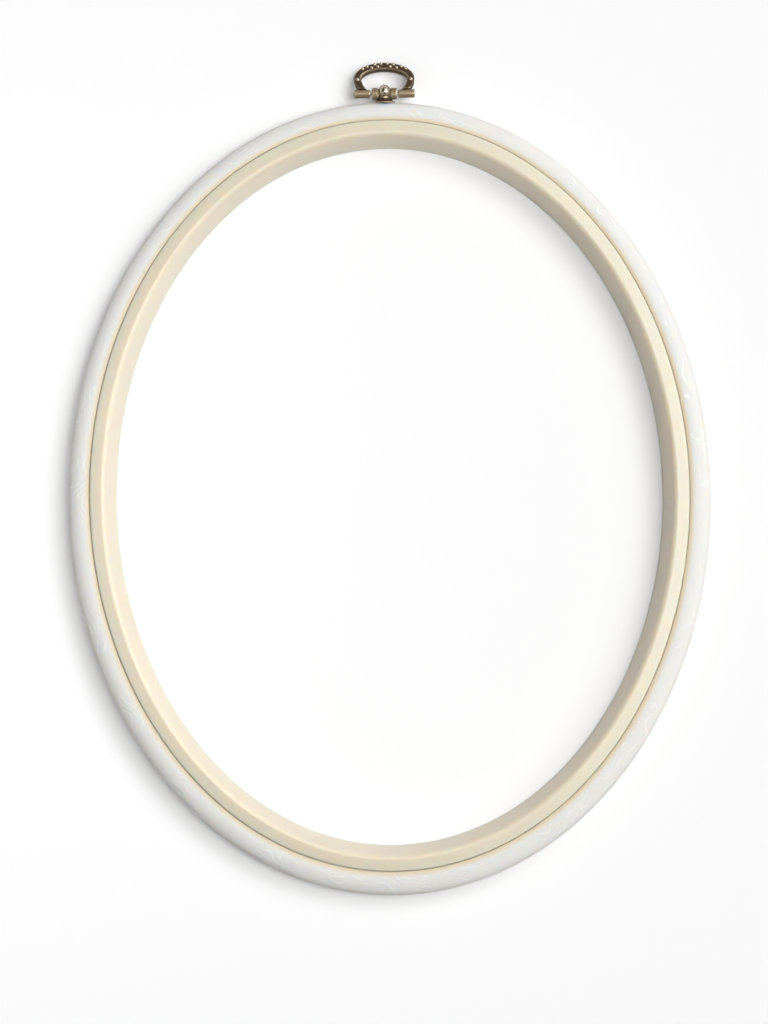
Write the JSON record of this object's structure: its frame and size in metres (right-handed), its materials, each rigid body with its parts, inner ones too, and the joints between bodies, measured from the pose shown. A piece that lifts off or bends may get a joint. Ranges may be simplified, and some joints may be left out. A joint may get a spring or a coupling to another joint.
{
  "type": "embroidery hoop",
  "caption": "Oval flexible embroidery hoop: a rigid inner ring held in a soft stretching outer ring, with a swinging hanging bail on a short post.",
  "frame": {"origin": "on the table under the middle of the whole hoop and its hanger, which is 6 mm above the middle of the oval", "axes": "+X across the hoop, parallel to the hinge pin; +Y towards the hanger; +Z out of the front, from the back faces to the ridge"},
  "size_m": [0.1948, 0.2536, 0.0098],
  "materials": {
    "cream_plastic": "satin moulded, slightly translucent",
    "white_soft_plastic": "matt soft vinyl with a moulded wood grain",
    "antique_brass": "cast, darkened and rubbed back",
    "plated_steel": "zinc plated"
  },
  "bodies": {
    "outer_hoop": {"outer_ring": "white_soft_plastic", "hanger_post": "antique_brass", "hinge_pin": "antique_brass", "fixing_screw": "plated_steel"},
    "inner_hoop": {"inner_ring": "cream_plastic"},
    "hanging_loop": {"bail": "antique_brass"}
  },
  "joints": [
    {"name": "inner_ring_release", "type": "slide", "parent": "outer_hoop", "child": "inner_hoop", "axis": [0, 0, 1], "range_m": [0, 0.02]},
    {"name": "bail_swing", "type": "hinge", "parent": "outer_hoop", "child": "hanging_loop", "pos_m": [0, 0.11673, 0.0048], "axis": [1, 0, 0], "range_deg": [-94, 138]}
  ]
}
